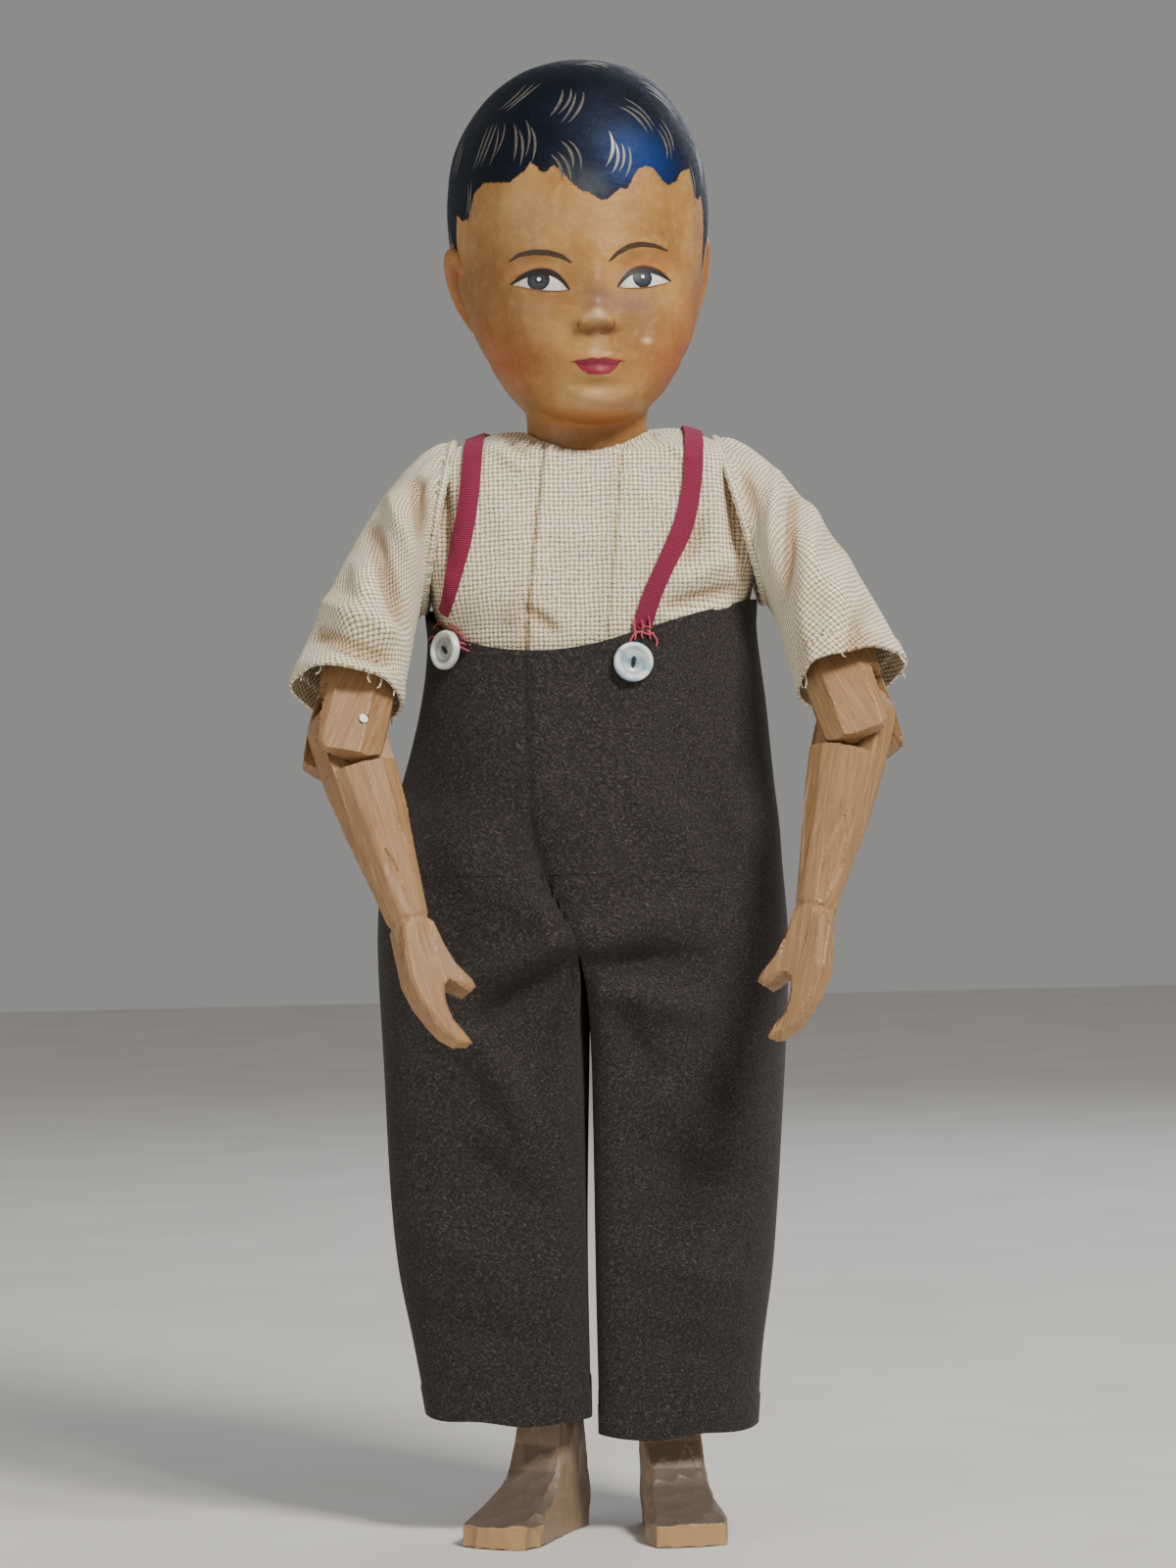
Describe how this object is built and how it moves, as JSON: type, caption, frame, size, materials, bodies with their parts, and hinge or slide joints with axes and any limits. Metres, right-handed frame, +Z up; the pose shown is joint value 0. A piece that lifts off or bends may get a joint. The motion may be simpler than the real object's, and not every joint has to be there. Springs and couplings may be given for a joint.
{
  "type": "jointed wooden doll",
  "caption": "Carved wooden doll with a turning head and pegged shoulders, elbows, hips and knees, dressed in a shirt, wool trousers and braces.",
  "frame": {"origin": "on the floor under the middle of the doll's box, between the feet", "axes": "+Z up from the soles to the crown, the face toward -Y, the doll's own left side toward +X"},
  "size_m": [0.1654, 0.0986, 0.3992],
  "materials": {
    "painted_wood": "painted and varnished, satin",
    "honey_wood": "knife-cut, waxed",
    "pale_wood": "bare",
    "steel": "plain wire",
    "linen": "coarse basket weave",
    "wool": "felted wool",
    "red_tape": "woven tape",
    "pearl": "polished shell"
  },
  "bodies": {
    "torso": {"torso_block": "pale_wood", "neck_pin": "steel", "hip_axle": "pale_wood", "shirt_body": "linen", "trouser_seat": "wool", "shoulder_peg_right": "pale_wood", "shoulder_peg_left": "pale_wood", "brace_right": "red_tape", "brace_left": "red_tape", "button_right": "pearl", "button_left": "pearl"},
    "head": {"head": "painted_wood", "neck_dowel": "pale_wood"},
    "upper_arm_right": {"upper_arm_right": "honey_wood", "sleeve_right": "linen", "elbow_pin_right": "steel"},
    "upper_arm_left": {"upper_arm_left": "honey_wood", "sleeve_left": "linen", "elbow_pin_left": "steel"},
    "forearm_right": {"forearm_right": "honey_wood"},
    "forearm_left": {"forearm_left": "honey_wood"},
    "thigh_right": {"thigh_right": "pale_wood", "knee_pin_right": "steel", "trouser_thigh_right": "wool"},
    "thigh_left": {"thigh_left": "pale_wood", "knee_pin_left": "steel", "trouser_thigh_left": "wool"},
    "shin_right": {"shin_foot_right": "honey_wood", "trouser_shin_right": "wool"},
    "shin_left": {"shin_foot_left": "honey_wood", "trouser_shin_left": "wool"}
  },
  "joints": [
    {"name": "neck_turn", "type": "hinge", "parent": "torso", "child": "head", "pos_m": [-0.0015, 0.01105, 0.292], "axis": [0, 0, 1], "continuous": true},
    {"name": "shoulder_right", "type": "hinge", "parent": "torso", "child": "upper_arm_right", "pos_m": [-0.0425, 0.01105, 0.273], "axis": [-0.9799, 0, 0.1994], "range_deg": [-6, 110]},
    {"name": "shoulder_left", "type": "hinge", "parent": "torso", "child": "upper_arm_left", "pos_m": [0.0395, 0.01105, 0.273], "axis": [-0.9636, 0, -0.2672], "range_deg": [-6, 110]},
    {"name": "elbow_right", "type": "hinge", "parent": "upper_arm_right", "child": "forearm_right", "pos_m": [-0.06725, -0.02345, 0.21706], "axis": [0.4595, -0.803, 0.3796], "range_deg": [-31, 22]},
    {"name": "elbow_left", "type": "hinge", "parent": "upper_arm_left", "child": "forearm_left", "pos_m": [0.06809, -0.02345, 0.21892], "axis": [-0.4849, -0.803, 0.3466], "range_deg": [-22, 31]},
    {"name": "hip_right", "type": "hinge", "parent": "torso", "child": "thigh_right", "pos_m": [-0.0173, 0.01105, 0.165], "axis": [-1, 0, 0], "range_deg": [-20, 90], "deforming": ["trouser_thigh_right"]},
    {"name": "hip_left", "type": "hinge", "parent": "torso", "child": "thigh_left", "pos_m": [0.0143, 0.01105, 0.165], "axis": [-1, 0, 0], "range_deg": [-20, 90], "deforming": ["trouser_thigh_left"]},
    {"name": "knee_right", "type": "hinge", "parent": "thigh_right", "child": "shin_right", "pos_m": [-0.0173, 0.01105, 0.088], "axis": [1, 0, 0], "range_deg": [0, 92], "deforming": ["trouser_shin_right"]},
    {"name": "knee_left", "type": "hinge", "parent": "thigh_left", "child": "shin_left", "pos_m": [0.0143, 0.01105, 0.088], "axis": [1, 0, 0], "range_deg": [0, 92], "deforming": ["trouser_shin_left"]}
  ]
}
